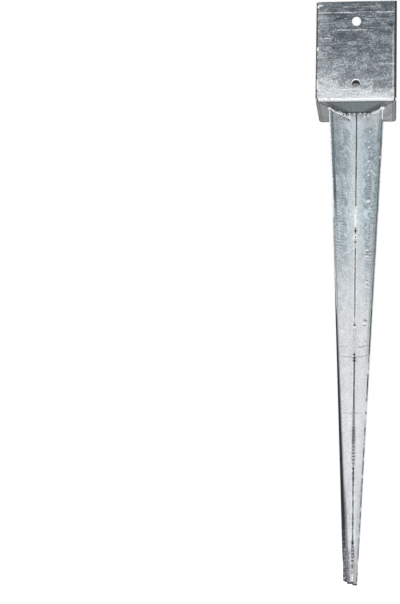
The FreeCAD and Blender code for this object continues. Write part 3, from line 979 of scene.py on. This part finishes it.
# The weld spatter: beads of steel thrown off the floor welds, stuck to the flanges below
# them and galvanised over.
spatter_count = 34
spatter_reach = (0.008, 0.054)
spatter_size = (0.0003, 0.0008)
spatter_drop = 0.002
spatter_spread = 0.012
spatter = bmesh.new()
for turn, toward, sideways, face_offset in flaps:
    for speck in range(spatter_count):
        across_flap = sideways * draw.choice((-1, 1))
        seat = flange_place(toward, across_flap, draw.uniform(*spatter_reach), face_offset, 0.0)
        seat.z -= spatter_drop + draw.expovariate(1 / spatter_spread)
        size = draw.uniform(*spatter_size)
        ball = bmesh.ops.create_icosphere(spatter, subdivisions=1, radius=size)["verts"]
        bmesh.ops.translate(spatter, verts=ball, vec=seat)
new_piece("weld_spatter", spatter, bright_zinc_and_highlight)

# The stage: a plain white floor at the spike's tip, soft light all round that is brightest
# near the horizon, a small lamp just above the camera and a wide panel behind.
floor_half = 30
floor_white = (0.9, 0.9, 0.9, 1)
floor_glow = 0.78
floor_shape = bmesh.new()
bmesh.ops.create_grid(floor_shape, x_segments=1, y_segments=1, size=floor_half)
bmesh.ops.translate(floor_shape, verts=floor_shape.verts, vec=(0, 0, cad_box[0].z))
floor_mesh = bpy.data.meshes.new("floor")
floor_shape.to_mesh(floor_mesh)
floor_shape.free()
floor = bpy.data.objects.new("floor", floor_mesh)
bpy.context.scene.collection.objects.link(floor)
floor_paper = bpy.data.materials.new("floor_paper")
floor_paper.use_nodes = True
paper = floor_paper.node_tree.nodes["Principled BSDF"]
paper.inputs["Base Color"].default_value = floor_white
paper.inputs["Roughness"].default_value = 0.9
paper.inputs["Emission Color"].default_value = (1, 1, 1, 1)
paper.inputs["Emission Strength"].default_value = floor_glow
floor_mesh.materials.append(floor_paper)
floor.visible_glossy = False

nadir_light = (0.21, 0.22, 0.22, 1)
zenith_light = (0.38, 0.39, 0.40, 1)
# Each level of the light has a height, from 0 straight down to 1 straight up, and a strength.
light_levels = (
    (0.30, 0.32), (0.38, 0.76), (0.45, 1.16), (0.50, 1.38),
    (0.55, 1.05), (0.60, 0.32), (0.66, 0.12), (0.76, 0.14),
)
world = bpy.data.worlds.new("studio")
bpy.context.scene.world = world
world.use_nodes = True
direction = add_node(world, "TexCoord", {}).outputs["Generated"]
heading = add_node(world, "SeparateXYZ", {"Vector": direction}).outputs
height = add_node(world, "MapRange", {"Value": heading["Z"], "From Min": -1, "From Max": 1}).outputs["Result"]
glow = add_node(world, "ValToRGB", {"Fac": height})
levels = glow.color_ramp.elements
levels[0].position = 0.10
levels[0].color = nadir_light
levels[1].position = 0.90
levels[1].color = zenith_light
for position, level in light_levels:
    levels.new(position).color = (level, level * 1.01, level * 1.02, 1)
side_inputs = {"Value": heading["X"], "From Min": -1, "From Max": 1, "To Min": 0.95, "To Max": 1.08}
side_light = add_node(world, "MapRange", side_inputs).outputs["Result"]
shade_inputs = {"Fac": 1, "Color1": glow.outputs["Color"], "Color2": side_light}
shaded = add_node(world, "MixRGB", shade_inputs, blend_type="MULTIPLY").outputs["Color"]
seen = add_node(world, "LightPath", {}).outputs["Is Camera Ray"]
sky = add_node(world, "MixRGB", {"Fac": seen, "Color1": shaded, "Color2": (1, 1, 1, 1)}).outputs["Color"]
world.node_tree.links.new(sky, world.node_tree.nodes["Background"].inputs["Color"])


def light_panel(name, place, aim, size, power):
    """A square soft light, turned to face the aim."""
    lamp = bpy.data.lights.new(name, "AREA")
    lamp.shape = "SQUARE"
    lamp.size = size
    lamp.energy = power
    panel = bpy.data.objects.new(name, lamp)
    panel.location = place
    panel.rotation_euler = (Vector(aim) - Vector(place)).to_track_quat("-Z", "Y").to_euler()
    bpy.context.scene.collection.objects.link(panel)


light_panel("camera_lamp", place=(0.0585, -2.336, -0.560), aim=(0, 0, -0.2), size=0.035, power=21)
light_panel("rear_panel", place=(-0.7, 2.2, 1.1), aim=(0, 0, -0.2), size=1.0, power=24)

# The camera: low and a little to the right of the object, with a long lens,
# turned to hold the object at the right of the frame.
camera_place = (0.0585, -2.336, -0.664)
camera_turn = math.radians(7.357)
camera_tilt = math.radians(8.611)
camera_roll = math.radians(1.43)
camera_data = bpy.data.cameras.new("camera")
camera_data.lens = 90.0
camera_data.sensor_width = 36.0
camera = bpy.data.objects.new("camera", camera_data)
bpy.context.scene.collection.objects.link(camera)
turned = Euler((math.pi / 2 + camera_tilt, 0, camera_turn)).to_matrix()
rolled = turned @ Matrix.Rotation(camera_roll, 3, "Z")
camera.matrix_world = Matrix.Translation(camera_place) @ rolled.to_4x4()
bpy.context.scene.camera = camera
bpy.context.scene.view_settings.view_transform = "Standard"
